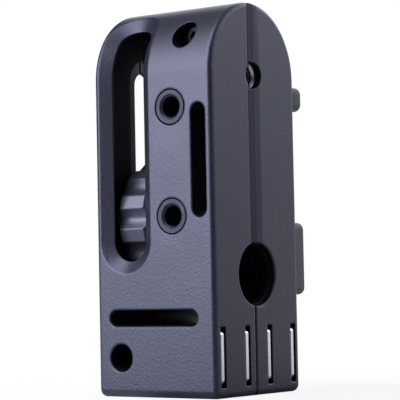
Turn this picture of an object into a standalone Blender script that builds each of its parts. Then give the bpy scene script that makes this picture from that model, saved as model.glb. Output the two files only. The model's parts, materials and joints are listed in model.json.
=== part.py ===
"""Mounting block for a laser level or a camera: two moulded half shells around a sliding clamp wheel.

Metres, +Z up. The front face looks along -Y and the arch rounds over the top from front to back.
"""

import math

import bmesh
import bpy
from mathutils import Vector

for old in list(bpy.data.objects):
    bpy.data.objects.remove(old, do_unlink=True)

# Housing
BLOCK_WIDTH = 0.0374
BLOCK_DEPTH = 0.0374
BLOCK_HEIGHT = 0.1000
EDGE_RADIUS = 0.0014
BASE_RADIUS = 0.0020
WALL = 0.0026
WEB = 0.0016  # thinner walls between neighbouring pockets
FIT = 0.0003  # gap between pieces that touch
MOUTH_BREAK = 0.0003  # broken edge round slots and holes
SEAM_BREAK = 0.0005  # broken edge along the parting line
PARTING = -0.0011  # parting plane in front of the middle

# Heights that several features share
LOWER_LEVEL = 0.0455  # clamp wheel at its lowest, lower bushing, low end of the strap slot
UPPER_DROP = 0.0084  # upper bushing below the centre of the arch

# Finger window, cut through the front and the rear wall
WINDOW_INSET = 0.0096  # middle of the window from the left face
WINDOW_WIDTH = 0.0100
WINDOW_BOTTOM = 0.0345
WINDOW_TOP_ANGLE = 34.5  # degrees up the arch to the centre of the window's upper end
WINDOW_FLARE = 0.00315  # width of the sloping rim
WINDOW_BREAK = 0.0001  # broken edge outside the rim
WINDOW_LAND = 0.0003  # straight edge left inside the rim
CHAMBER_LEDGE = 0.0007  # chamber reaches past the window on its right
DIVIDER = 0.0025

# Clamp wheel, its bolt and the washer that slides in the left wall
WHEEL_GAP = 0.0007  # rim to the wall it runs past
WHEEL_SIDE_GAP = 0.0010
WHEEL_FLOOR_GAP = 0.0012
WHEEL_TEETH = 11
TOOTH_SHARE = 0.40  # part of the pitch that the tooth's top takes
FLUTE_DEPTH = 0.0016
RIM_CONE_DROP = 0.0022
RIM_CONE_WIDTH = 0.0018
STUD_DIAMETER = 0.00635
STUD_REACH = 0.0055
STUD_PLAY = 0.0003
STUD_POINT = 0.0006
BOLT_HEAD_FLATS = 0.0111
BOLT_HEAD_HEIGHT = 0.0040
SLOT_WALL = 0.0014  # what is left of the left wall under the washer's track
WASHER_DIAMETER = 0.0130
WASHER_PROUD = 0.0003
TRACK_PLAY = 0.0004

# Threaded bushings in the front face
BUSHING_INSET = 0.0128  # from the right face
BUSHING_DIAMETER = 0.0086
BUSHING_LENGTH = 0.0100
BUSHING_BORE = 0.0053
BUSHING_SINK = 0.0006
BUSHING_GAP = 0.00035

# Strap slots
STRAP_WIDTH = 0.0043
STRAP_WALL = 0.0021  # between the upright slot and the right face
STRAP_OVERRUN = 0.0005  # slot ends past the bushings' centres
HOOK_HEIGHT = 0.0041
HOOK_LEFT = 0.0041  # slot end from the left face
HOOK_RIGHT = 0.0054  # slot end from the right face
HOOK_STEP = 0.0007  # each end of the rear half stops short of the front half
HOOK_WEB = 0.0010  # between the pole plates and the level slot

# Large threaded bore and small threaded insert in the right face
BORE_MOUTH = 0.0160
BORE_CREST = 0.0142
BORE_RECESS = 0.0016
BORE_LEAD = 0.0005
BORE_DEPTH = 0.0160
BORE_WEB = 0.0014  # between the level slot and the bore
INSERT_MOUTH = 0.0068
INSERT_RECESS = 0.0020
INSERT_FLATS = 0.0095
INSERT_LENGTH = 0.0080
INSERT_BORE = 0.0053
GROOVE_HALF = 0.0026
GROOVE_DEPTH = 0.0010  # at the parting plane

# Magnets and their pole plates
POLE_BASE = 0.0026  # bottom of the slots above the base
POLE_HEIGHT = 0.0131
POLE_THICKNESS = 0.0012
POLE_DEPTH = 0.0140
POLE_CORNER = 0.0010
POLE_SET_BACK = 0.0002
POLE_SLOT_WIDTH = 0.0022
POLE_SLOT_MARGIN = 0.0010
POLE_SLOT_DEPTH = 0.0030
POLE_INNER = 0.0049  # inner plates from the middle
POLE_EDGE = 0.0032  # outer plates from the front and rear faces
MAGNET_COVER = 0.0033

# Screws that hold the halves together
SCREW_BORE = 0.0070
SCREW_HEAD = 0.0058
SCREW_HEAD_HEIGHT = 0.0021
SCREW_SHANK = 0.0030
SCREW_SEAT = 0.0090
SCREW_SOCKET = 0.0025
SCREW_SOCKET_DEPTH = 0.0012
NUT_FLATS = 0.0055
NUT_HEIGHT = 0.0024
NUT_BORE = 0.0074
UPPER_SCREW_RISE = 0.0098
UPPER_SCREW_INSET = 0.0099
LOWER_SCREW_INSET = 0.0076
LOWER_SCREW_HEIGHT = 0.0100

# Strap peg and cleat on the rear face
KEEPER_HEIGHT = 0.0052
KEEPER_WIDTH = 0.0064
KEEPER_ROUND = 0.0010
KEEPER_CORNER = 0.0019
PEG_LENGTH = 0.0064
PEG_GAP = 0.0002
CLEAT_LENGTH = 0.0190
CLEAT_GAP = 0.0009
TENON_DIAMETER = 0.0030
TENON_LENGTH = 0.0045
TENON_PITCH = 0.0092

# Facets
ARCH_STEPS = 32
ROUND_STEPS = 5
CIRCLE_STEPS = 40
SMALL_STEPS = 24
OVERCUT = 0.0010

# Places worked out from the sizes above
left = -BLOCK_WIDTH / 2
right = BLOCK_WIDTH / 2
arch_radius = BLOCK_DEPTH / 2
arch_z = BLOCK_HEIGHT - arch_radius
upper_level = arch_z - UPPER_DROP
inner_radius = arch_radius - WALL

window_x = left + WINDOW_INSET
chamber_left = left + WALL
chamber_right = window_x + WINDOW_WIDTH / 2 + CHAMBER_LEDGE
wheel_radius = inner_radius - WHEEL_GAP
chamber_floor = LOWER_LEVEL - wheel_radius - WHEEL_FLOOR_GAP
track_floor = left + SLOT_WALL
washer_right = chamber_left + WASHER_PROUD
wheel_left = washer_right + FIT
wheel_right = chamber_right - WHEEL_SIDE_GAP

strap_x = right - STRAP_WALL - STRAP_WIDTH / 2
strap_low = LOWER_LEVEL - STRAP_OVERRUN
strap_high = upper_level + STRAP_OVERRUN
bushing_x = right - BUSHING_INSET
bushing_seat = BUSHING_DIAMETER / 2 + BUSHING_GAP

pole_z = POLE_BASE + POLE_SLOT_MARGIN + POLE_HEIGHT / 2
pole_front = right - POLE_SET_BACK
pole_back = pole_front - POLE_DEPTH
pole_outer = BLOCK_DEPTH / 2 - POLE_EDGE
hook_z = pole_z + POLE_HEIGHT / 2 + FIT + HOOK_WEB + HOOK_HEIGHT / 2
bore_z = hook_z + HOOK_HEIGHT / 2 + BORE_WEB + BORE_CREST / 2

screw_places = {
    "upper": (right - UPPER_SCREW_INSET, arch_z + UPPER_SCREW_RISE),
    "lower": (left + LOWER_SCREW_INSET, LOWER_SCREW_HEIGHT),
}
peg_z = strap_high + PEG_GAP + PEG_LENGTH / 2
cleat_z = strap_low - CLEAT_GAP - CLEAT_LENGTH / 2


def make_material(name, colour, roughness, metallic=0.0):
    material = bpy.data.materials.new(name)
    material.use_nodes = True
    shader = material.node_tree.nodes["Principled BSDF"]
    shader.inputs["Base Color"].default_value = (*colour, 1.0)
    shader.inputs["Roughness"].default_value = roughness
    shader.inputs["Metallic"].default_value = metallic
    material.diffuse_color = (*colour, 1.0)
    return material


housing_plastic = make_material("housing_plastic", (0.060, 0.060, 0.072), 0.45)
wheel_plastic = make_material("wheel_plastic", (0.085, 0.085, 0.100), 0.38)
keeper_rubber = make_material("keeper_rubber", (0.045, 0.045, 0.052), 0.70)
black_steel = make_material("black_steel", (0.070, 0.070, 0.080), 0.40, 0.6)
bright_steel = make_material("bright_steel", (0.780, 0.780, 0.790), 0.22, 1.0)
plated_steel = make_material("plated_steel", (0.560, 0.560, 0.580), 0.30, 1.0)
magnet_nickel = make_material("magnet_nickel", (0.620, 0.610, 0.590), 0.18, 1.0)

# Everything hangs on one empty at the block's own centre, which puts the envelope's centre on the origin.
block_frame = bpy.data.objects.new("block_frame", None)
block_frame.location = (STUD_REACH / 2, -KEEPER_HEIGHT / 2, 0.0)
bpy.context.scene.collection.objects.link(block_frame)


def arc(centre_a, centre_b, radius, start, end, steps):
    angles = [math.radians(start + (end - start) * i / steps) for i in range(steps + 1)]
    return [(centre_a + radius * math.cos(t), centre_b + radius * math.sin(t)) for t in angles]


def circle(a, b, diameter, steps=CIRCLE_STEPS):
    return arc(a, b, diameter / 2, 0, 360 - 360 / steps, steps - 1)


def hexagon(a, b, flats):
    return arc(a, b, flats / math.sqrt(3), 0, 300, 5)


def round_rectangle(a, b, width, height, radius, steps=ROUND_STEPS):
    da = width / 2 - radius
    db = height / 2 - radius
    corners = ((da, db, 0), (-da, db, 90), (-da, -db, 180), (da, -db, 270))
    points = []
    for ca, cb, start in corners:
        points += arc(a + ca, b + cb, radius, start, start + 90, steps)
    return points


def slot(a, b_low, b_high, width, steps=SMALL_STEPS // 2):
    return arc(a, b_high, width / 2, 0, 180, steps) + arc(a, b_low, width / 2, 180, 360, steps)


def place(axis, along, a, b):
    if axis == "x":
        return Vector((along, a, b))
    return Vector((a, along, b))


def loft(rings):
    bm = bmesh.new()
    loops = [[bm.verts.new(point) for point in ring] for ring in rings]
    for near, far in zip(loops, loops[1:]):
        for i, vert in enumerate(near):
            j = (i + 1) % len(near)
            bm.faces.new((vert, near[j], far[j], far[i]))
    bm.faces.new(loops[0])
    bm.faces.new(loops[-1])
    bmesh.ops.remove_doubles(bm, verts=bm.verts, dist=1e-7)
    bmesh.ops.recalc_face_normals(bm, faces=bm.faces)
    return bm


def prism(axis, start, end, outline):
    return loft([[place(axis, along, a, b) for a, b in outline] for along in (start, end)])


def stepped(axis, sections):
    return loft([[place(axis, along, a, b) for a, b in outline] for along, outline in sections])


def box(low, high):
    outline = [(low[1], low[2]), (high[1], low[2]), (high[1], high[2]), (low[1], high[2])]
    return prism("x", low[0], high[0], outline)


def add_object(name, bm, material=None, origin=(0.0, 0.0, 0.0)):
    bmesh.ops.translate(bm, verts=bm.verts, vec=-Vector(origin))
    bmesh.ops.triangulate(bm, faces=[face for face in bm.faces if len(face.verts) == 4])
    mesh = bpy.data.meshes.new(name)
    bm.to_mesh(mesh)
    bm.free()
    mesh.shade_smooth()
    mesh.set_sharp_from_angle(angle=math.radians(32))
    piece = bpy.data.objects.new(name, mesh)
    piece.parent = block_frame
    piece.location = origin
    bpy.context.scene.collection.objects.link(piece)
    if material:
        mesh.materials.append(material)
    else:
        piece.hide_render = True
        piece.display_type = "WIRE"
    return piece


def cut(piece, *cutters):
    for cutter in cutters:
        modifier = piece.modifiers.new(cutter.name, "BOOLEAN")
        modifier.operation = "DIFFERENCE"
        modifier.solver = "EXACT"
        modifier.object = cutter


def join(piece, added):
    modifier = piece.modifiers.new(added.name, "BOOLEAN")
    modifier.operation = "UNION"
    modifier.solver = "EXACT"
    modifier.object = added


def half_outline(side, inset):
    # Upright outline of one half, from the parting line under the base round to the top of the arch.
    seam = FIT / 2 + side * PARTING
    shoulder = seam + SEAM_BREAK
    radius = arch_radius - inset
    top_angle = math.degrees(math.acos(shoulder / radius))
    points = [(seam, inset + SEAM_BREAK), (shoulder, inset)]
    points += arc(arch_radius - BASE_RADIUS, BASE_RADIUS, BASE_RADIUS - inset, -90, 0, ROUND_STEPS)
    points += arc(0, arch_z, radius, 0, top_angle, ARCH_STEPS)
    points.append((seam, BLOCK_HEIGHT - inset - SEAM_BREAK))
    return [(side * depth, z) for depth, z in points]


def shell_body(side):
    edge = min(EDGE_RADIUS, 0.95 * BASE_RADIUS)
    rings = []
    for end in (-1, 1):
        turns = [90 * i / ROUND_STEPS for i in range(ROUND_STEPS + 1)]
        for turn in turns if end < 0 else reversed(turns):
            inset = edge * (1 - math.sin(math.radians(turn)))
            x = end * (BLOCK_WIDTH / 2 - edge * (1 - math.cos(math.radians(turn))))
            rings.append([place("x", x, y, z) for y, z in half_outline(side, inset)])
    return loft(rings)


def window_ring(side, lift, half_width):
    # A long slot laid on the front wall and rolled up over the arch, lifted off the rim's inner edge.
    rolled_radius = arch_radius - WALL + WINDOW_LAND
    low = WINDOW_BOTTOM + WINDOW_WIDTH / 2 - arch_z
    high = rolled_radius * math.radians(WINDOW_TOP_ANGLE)
    quarter = [math.radians(90 * i / SMALL_STEPS) for i in range(SMALL_STEPS + 1)]
    run = [(low - half_width * math.cos(t), half_width * math.sin(t)) for t in quarter]
    run += [(high * i / SMALL_STEPS, half_width) for i in range(SMALL_STEPS)]
    run += [(high + half_width * math.cos(t), half_width * math.sin(t)) for t in reversed(quarter)]
    radius = rolled_radius + lift
    points = []
    for along, half in run:
        turn = max(along, 0) / rolled_radius
        y = side * radius * math.cos(turn)
        z = arch_z + min(along, 0) + radius * math.sin(turn)
        points.append((Vector((window_x - half, y, z)), Vector((window_x + half, y, z))))
    return points


def window_cutter(side):
    depth = WALL - WINDOW_LAND
    slope = WINDOW_FLARE / depth
    half = WINDOW_WIDTH / 2
    rim = depth - WINDOW_BREAK
    # The broken edge halves the turn from the sloping rim to the face.
    spread = (WINDOW_BREAK + OVERCUT) / math.tan(math.atan2(depth, WINDOW_FLARE) / 2)
    levels = (
        window_ring(side, -WINDOW_LAND - OVERCUT, half),
        window_ring(side, 0, half),
        window_ring(side, rim, half + slope * rim),
        window_ring(side, depth + OVERCUT, half + slope * rim + spread),
    )
    bm = bmesh.new()
    ladders = [[[bm.verts.new(point) for point in pair] for pair in level] for level in levels]
    for near, far in zip(ladders, ladders[1:]):
        for (a, b), (c, d) in zip(zip(near, near[1:]), zip(far, far[1:])):
            for hand in (0, 1):
                bm.faces.new((a[hand], b[hand], d[hand], c[hand]))
    for ladder in (ladders[0], ladders[-1]):
        for a, b in zip(ladder, ladder[1:]):
            bm.faces.new((a[0], b[0], b[1], a[1]))
    bmesh.ops.remove_doubles(bm, verts=bm.verts, dist=1e-7)
    bmesh.ops.triangulate(bm, faces=bm.faces)
    bmesh.ops.recalc_face_normals(bm, faces=bm.faces)
    return bm


def through_slot(outline, step=0.0):
    # A slot from the front face to the rear face with both mouths broken, its rear half shorter by the step.
    face = BLOCK_DEPTH / 2
    mouth = 2 * (MOUTH_BREAK + OVERCUT)
    sections = [(-face - OVERCUT, outline(mouth, 0)), (-face + MOUTH_BREAK, outline(0, 0))]
    if step:
        sections += [(PARTING, outline(0, 0)), (PARTING, outline(0, step))]
    sections += [(face - MOUTH_BREAK, outline(0, step)), (face + OVERCUT, outline(mouth, step))]
    return stepped("y", sections)


def seam_groove(side, front, rear, depth, low, high):
    # A shallow V along the left or the right face, with its bottom on the parting line.
    face = side * BLOCK_WIDTH / 2
    outside = face + side * OVERCUT
    grow = 1 + OVERCUT / depth
    rims = [PARTING + (y - PARTING) * grow for y in (rear, front)]
    section = [(face - side * depth, PARTING)] + [(outside, y) for y in rims]
    return loft([[Vector((x, y, z)) for x, y in section] for z in (low, high)])


def shared_cutters():
    # Cuts that cross the parting plane and so shape both halves.
    chamber = arc(0, arch_z, inner_radius, 0, 180, ARCH_STEPS)
    chamber += [(-inner_radius, chamber_floor), (inner_radius, chamber_floor)]
    slot_width = STUD_DIAMETER + 2 * STUD_PLAY
    track_width = WASHER_DIAMETER + 2 * TRACK_PLAY
    stud_slot = slot(0, LOWER_LEVEL, arch_z, slot_width)
    track = slot(0, LOWER_LEVEL, arch_z, track_width)
    strap_end = STRAP_WIDTH / 2
    hook_left = left + HOOK_LEFT + HOOK_HEIGHT / 2
    hook_right = right - HOOK_RIGHT - HOOK_HEIGHT / 2
    insert_back = right - INSERT_RECESS - INSERT_LENGTH - FIT
    insert_front = right - INSERT_RECESS + FIT
    pocket = inner_radius
    cores = {
        "bushing_core": (
            (chamber_right + DIVIDER, LOWER_LEVEL + bushing_seat + WEB),
            (strap_x - STRAP_WIDTH / 2 - WEB, upper_level - bushing_seat - WEB),
        ),
        "base_core": (
            (screw_places["lower"][0] + max(SCREW_BORE, NUT_BORE) / 2 + WEB, WALL),
            (pole_back - FIT - WEB, hook_z - HOOK_HEIGHT / 2 - WEB),
        ),
    }

    def strap_outline(grow, step):
        return slot(strap_x, strap_low + strap_end + step, strap_high - strap_end - step, STRAP_WIDTH + grow)

    def hook_outline(grow, step):
        flat = slot(hook_z, hook_left + step, hook_right - step, HOOK_HEIGHT + grow)
        return [(b, a) for a, b in flat]

    outside = BLOCK_HEIGHT + OVERCUT
    seam_rims = (PARTING - SEAM_BREAK, PARTING + SEAM_BREAK)
    insert_mouth = circle(0, arch_z, INSERT_MOUTH)
    insert_pocket = hexagon(0, arch_z, INSERT_FLATS + 2 * FIT)

    made = [
        add_object("chamber_cut", prism("x", chamber_left, chamber_right, chamber)),
        add_object("stud_slot_cut", prism("x", left - OVERCUT, chamber_left + OVERCUT, stud_slot)),
        add_object("track_cut", prism("x", track_floor, chamber_left + OVERCUT, track)),
        add_object("strap_cut", through_slot(strap_outline)),
        add_object("hook_cut", through_slot(hook_outline, HOOK_STEP)),
        add_object("bore_cut", bore_cutter()),
        add_object("insert_mouth_cut", prism("x", insert_front - OVERCUT, right + OVERCUT, insert_mouth)),
        add_object("insert_pocket_cut", prism("x", insert_back, insert_front, insert_pocket)),
        add_object("upper_groove_cut",
                   seam_groove(1, -GROOVE_HALF, GROOVE_HALF, GROOVE_DEPTH, bore_z, outside)),
        add_object("lower_groove_cut", seam_groove(1, *seam_rims, SEAM_BREAK, -OVERCUT, bore_z)),
        add_object("left_groove_cut", seam_groove(-1, *seam_rims, SEAM_BREAK, -OVERCUT, outside)),
    ]
    for name, ((x0, z0), (x1, z1)) in cores.items():
        made.append(add_object(name + "_cut", box((x0, -pocket, z0), (x1, pocket, z1))))
    for name, (x, z) in screw_places.items():
        shank = circle(x, z, SCREW_SHANK + 2 * FIT, SMALL_STEPS)
        reach = SCREW_SEAT + OVERCUT
        made.append(add_object(name + "_shank_cut", prism("y", -reach, reach, shank)))
    return made


def bore_cutter():
    # Mouth, lead into the thread and the thread's crest circle, down to a flat bottom.
    recess = right - BORE_RECESS
    sections = (
        (right + OVERCUT, BORE_MOUTH + 2 * (MOUTH_BREAK + OVERCUT)),
        (right - MOUTH_BREAK, BORE_MOUTH),
        (recess, BORE_MOUTH),
        (recess - BORE_LEAD, BORE_CREST),
        (right - BORE_DEPTH, BORE_CREST),
    )
    return stepped("x", [(x, circle(0, bore_z, diameter)) for x, diameter in sections])


def pole_cutters(side):
    made = []
    slot_height = POLE_HEIGHT + 2 * POLE_SLOT_MARGIN
    for name, depth in (("inner", POLE_INNER), ("outer", pole_outer)):
        y = side * depth

        def outline(width, height):
            corners = ((-1, -1), (1, -1), (1, 1), (-1, 1))
            return [(y + a * width / 2, pole_z + b * height / 2) for a, b in corners]

        mouth = outline(POLE_SLOT_WIDTH, slot_height)
        pocket = outline(POLE_THICKNESS + 2 * FIT, POLE_HEIGHT + 2 * FIT)
        sections = [
            (right + OVERCUT, mouth),
            (right - POLE_SLOT_DEPTH, mouth),
            (right - POLE_SLOT_DEPTH, pocket),
            (pole_back - FIT, pocket),
        ]
        made.append(add_object(f"{name}_pole_cut_{side}", stepped("x", sections)))
    low = (pole_back - FIT, side * POLE_INNER, pole_z - POLE_HEIGHT / 2 - FIT)
    high = (right - MAGNET_COVER + FIT, side * pole_outer, pole_z + POLE_HEIGHT / 2 + FIT)
    made.append(add_object(f"magnet_cut_{side}", box(low, high)))
    return made


def screw_cutters(side):
    # Round recesses for the heads in the front half and, in the rear half, over the pockets of the nuts.
    face = BLOCK_DEPTH / 2
    bottom = SCREW_SEAT if side < 0 else SCREW_SEAT + 2 * FIT + NUT_HEIGHT
    diameter = SCREW_BORE if side < 0 else NUT_BORE
    made = []
    for name, (x, z) in screw_places.items():
        bore = circle(x, z, diameter, SMALL_STEPS)
        wide = circle(x, z, diameter + 2 * (MOUTH_BREAK + OVERCUT), SMALL_STEPS)
        sections = [
            (side * (face + OVERCUT), wide),
            (side * (face - MOUTH_BREAK), bore),
            (side * bottom, bore),
        ]
        made.append(add_object(f"{name}_recess_cut_{side}", stepped("y", sections)))
        if side > 0:
            pocket = hexagon(x, z, NUT_FLATS + 2 * FIT)
            made.append(add_object(name + "_nut_cut", prism("y", SCREW_SEAT, bottom + FIT, pocket)))
    return made


def bushing_cutters():
    face = -BLOCK_DEPTH / 2
    made = []
    for name, z in (("upper", upper_level), ("lower", LOWER_LEVEL)):
        seat = circle(bushing_x, z, 2 * bushing_seat)
        made.append(add_object(name + "_bushing_cut",
                               prism("y", face - OVERCUT, face + BUSHING_LENGTH + FIT, seat)))
    return made


def tenon_places():
    return {"peg": [peg_z], "cleat": [cleat_z - TENON_PITCH / 2, cleat_z + TENON_PITCH / 2]}


def tenon_cutters():
    face = BLOCK_DEPTH / 2
    made = []
    for name, heights in tenon_places().items():
        for number, z in enumerate(heights):
            hole = circle(strap_x, z, TENON_DIAMETER + 2 * FIT, SMALL_STEPS)
            made.append(add_object(f"{name}_tenon_cut_{number}",
                                   prism("y", face - TENON_LENGTH - FIT, face + OVERCUT, hole)))
    return made


def build_shells():
    shared = shared_cutters()
    front = add_object("front_shell", shell_body(-1), housing_plastic)
    rear = add_object("rear_shell", shell_body(1), housing_plastic)
    cut(front, *shared, add_object("front_window_cut", window_cutter(-1)))
    cut(front, *bushing_cutters(), *screw_cutters(-1), *pole_cutters(-1))
    cut(rear, *shared, add_object("rear_window_cut", window_cutter(1)))
    cut(rear, *tenon_cutters(), *screw_cutters(1), *pole_cutters(1))


def build_bushings():
    face = -BLOCK_DEPTH / 2
    for name, z in (("upper", upper_level), ("lower", LOWER_LEVEL)):
        body = prism("y", face, face + BUSHING_LENGTH, circle(bushing_x, z, BUSHING_DIAMETER))
        bushing = add_object("front_bushing_" + name, body, black_steel)
        bore = circle(bushing_x, z, BUSHING_BORE)
        wide = circle(bushing_x, z, BUSHING_BORE + 2 * (BUSHING_SINK + OVERCUT))
        sections = [
            (face - OVERCUT, wide),
            (face + BUSHING_SINK, bore),
            (face + BUSHING_LENGTH + OVERCUT, bore),
        ]
        cut(bushing, add_object(name + "_bushing_bore_cut", stepped("y", sections)))


def build_side_insert():
    front = right - INSERT_RECESS
    back = front - INSERT_LENGTH
    body = prism("x", back, front, hexagon(0, arch_z, INSERT_FLATS))
    insert = add_object("side_insert", body, bright_steel)
    bore = circle(0, arch_z, INSERT_BORE)
    wide = circle(0, arch_z, INSERT_BORE + 2 * (BUSHING_SINK + OVERCUT))
    sections = [(back - OVERCUT, bore), (front - BUSHING_SINK, bore), (front + OVERCUT, wide)]
    cut(insert, add_object("insert_bore_cut", stepped("x", sections)))


def build_poles():
    middle_x = (pole_front + pole_back) / 2
    outline = round_rectangle(middle_x, pole_z, POLE_DEPTH, POLE_HEIGHT, POLE_CORNER)
    half = POLE_THICKNESS / 2
    for end, side in (("front", -1), ("rear", 1)):
        for name, depth in (("inner", POLE_INNER), ("outer", pole_outer)):
            y = side * depth
            add_object(f"{end}_{name}_pole", prism("y", y - half, y + half, outline), bright_steel)
        near = POLE_INNER + half + FIT
        far = pole_outer - half - FIT
        low = (pole_back, side * near, pole_z - POLE_HEIGHT / 2)
        high = (right - MAGNET_COVER, side * far, pole_z + POLE_HEIGHT / 2)
        add_object(end + "_magnet", box(low, high), magnet_nickel)


def build_screws():
    top = -SCREW_SEAT - FIT - SCREW_HEAD_HEIGHT
    seat = -SCREW_SEAT - FIT
    dome = SCREW_HEAD_HEIGHT / 3
    for name, (x, z) in screw_places.items():
        sections = [
            (top, circle(x, z, SCREW_HEAD - 2 * dome, SMALL_STEPS)),
            (top + dome / 2, circle(x, z, SCREW_HEAD - dome / 2, SMALL_STEPS)),
            (top + dome, circle(x, z, SCREW_HEAD, SMALL_STEPS)),
            (seat, circle(x, z, SCREW_HEAD, SMALL_STEPS)),
            (seat, circle(x, z, SCREW_SHANK, SMALL_STEPS)),
            (SCREW_SEAT + FIT + NUT_HEIGHT, circle(x, z, SCREW_SHANK, SMALL_STEPS)),
        ]
        screw = add_object(name + "_screw", stepped("y", sections), black_steel)
        socket = prism("y", top - OVERCUT, top + SCREW_SOCKET_DEPTH, hexagon(x, z, SCREW_SOCKET))
        cut(screw, add_object(name + "_socket_cut", socket))
        near = SCREW_SEAT + FIT
        far = near + NUT_HEIGHT
        nut = add_object(name + "_nut", prism("y", near, far, hexagon(x, z, NUT_FLATS)), plated_steel)
        hole = circle(x, z, SCREW_SHANK + 2 * FIT, SMALL_STEPS)
        cut(nut, add_object(name + "_nut_hole_cut", prism("y", near - OVERCUT, far + OVERCUT, hole)))


def keeper_head(z, length):
    # A pad with a rounded outer edge, standing on the rear face.
    face = BLOCK_DEPTH / 2
    top = face + KEEPER_HEIGHT

    def outline(inset):
        width = KEEPER_WIDTH - 2 * inset
        return round_rectangle(strap_x, z, width, length - 2 * inset, KEEPER_CORNER - inset)

    sections = [(face + FIT, outline(0))]
    for i in range(ROUND_STEPS + 1):
        turn = math.radians(90 * i / ROUND_STEPS)
        inset = KEEPER_ROUND * (1 - math.cos(turn))
        sections.append((top - KEEPER_ROUND * (1 - math.sin(turn)), outline(inset)))
    return stepped("y", sections)


def build_keepers():
    face = BLOCK_DEPTH / 2
    heads = {"peg": keeper_head(peg_z, PEG_LENGTH), "cleat": keeper_head(cleat_z, CLEAT_LENGTH)}
    for name, heights in tenon_places().items():
        keeper = add_object("strap_" + name, heads[name], keeper_rubber)
        for number, z in enumerate(heights):
            tenon = prism("y", face - TENON_LENGTH, face + KEEPER_ROUND,
                          circle(strap_x, z, TENON_DIAMETER, SMALL_STEPS))
            join(keeper, add_object(f"{name}_tenon_{number}", tenon))


def wheel_outline():
    # Angle and radius of each point round the rim: flat-topped teeth between scooped flutes.
    pitch = 360 / WHEEL_TEETH
    tooth = pitch * TOOTH_SHARE
    flute = pitch - tooth
    tooth_steps = 3
    flute_steps = 8
    points = []
    for number in range(WHEEL_TEETH):
        start = number * pitch + flute / 2
        for i in range(tooth_steps):
            points.append((start + tooth * i / tooth_steps, wheel_radius))
        for i in range(flute_steps):
            share = 2 * i / flute_steps - 1
            scoop = FLUTE_DEPTH * (1 - share**2)
            points.append((start + tooth + flute * i / flute_steps, wheel_radius - scoop))
    return points


def wheel_ring(end, radius_of, cone):
    ring = []
    for angle, radius in wheel_outline():
        r = radius_of(radius)
        rise = RIM_CONE_WIDTH * (r - wheel_radius + RIM_CONE_DROP) / RIM_CONE_DROP
        x = wheel_left + rise if end < 0 else wheel_right - rise
        if not cone:
            x = wheel_left if end < 0 else wheel_right
        turn = math.radians(angle)
        ring.append(Vector((x, -r * math.cos(turn), LOWER_LEVEL + r * math.sin(turn))))
    return ring


def build_wheel():
    axis = ((wheel_left + wheel_right) / 2, 0.0, LOWER_LEVEL)
    small = wheel_radius - RIM_CONE_DROP
    rings = [
        wheel_ring(-1, lambda radius: small, False),
        wheel_ring(-1, lambda radius: radius, True),
        wheel_ring(1, lambda radius: radius, True),
        wheel_ring(1, lambda radius: small, False),
    ]
    wheel = add_object("thumbwheel", loft(rings), wheel_plastic, axis)
    head_low = wheel_right - BOLT_HEAD_HEIGHT
    bore = circle(0, LOWER_LEVEL, STUD_DIAMETER + 2 * FIT)
    pocket = hexagon(0, LOWER_LEVEL, BOLT_HEAD_FLATS + 2 * FIT)
    cut(
        wheel,
        add_object("wheel_bore_cut", prism("x", wheel_left - OVERCUT, wheel_right, bore)),
        add_object("wheel_pocket_cut", prism("x", head_low - FIT, wheel_right + OVERCUT, pocket)),
    )

    stud_end = left - STUD_REACH
    bolt = add_object(
        "clamp_screw",
        stepped(
            "x",
            [
                (stud_end, circle(0, LOWER_LEVEL, STUD_DIAMETER - 2 * STUD_POINT)),
                (stud_end + STUD_POINT, circle(0, LOWER_LEVEL, STUD_DIAMETER)),
                (head_low + OVERCUT, circle(0, LOWER_LEVEL, STUD_DIAMETER)),
            ],
        ),
        plated_steel,
        axis,
    )
    head = prism("x", head_low, wheel_right, hexagon(0, LOWER_LEVEL, BOLT_HEAD_FLATS))
    join(bolt, add_object("bolt_head", head))

    washer_left = track_floor + FIT
    washer = add_object(
        "slide_washer",
        prism("x", washer_left, washer_right, circle(0, LOWER_LEVEL, WASHER_DIAMETER)),
        plated_steel,
        axis,
    )
    hole = prism("x", washer_left - OVERCUT, washer_right + OVERCUT,
                 circle(0, LOWER_LEVEL, STUD_DIAMETER + 2 * FIT))
    cut(washer, add_object("washer_hole_cut", hole))


build_shells()
build_bushings()
build_side_insert()
build_poles()
build_screws()
build_keepers()
build_wheel()
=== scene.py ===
import json
import math

import bmesh
import bpy
from mathutils import Matrix, Vector

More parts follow.
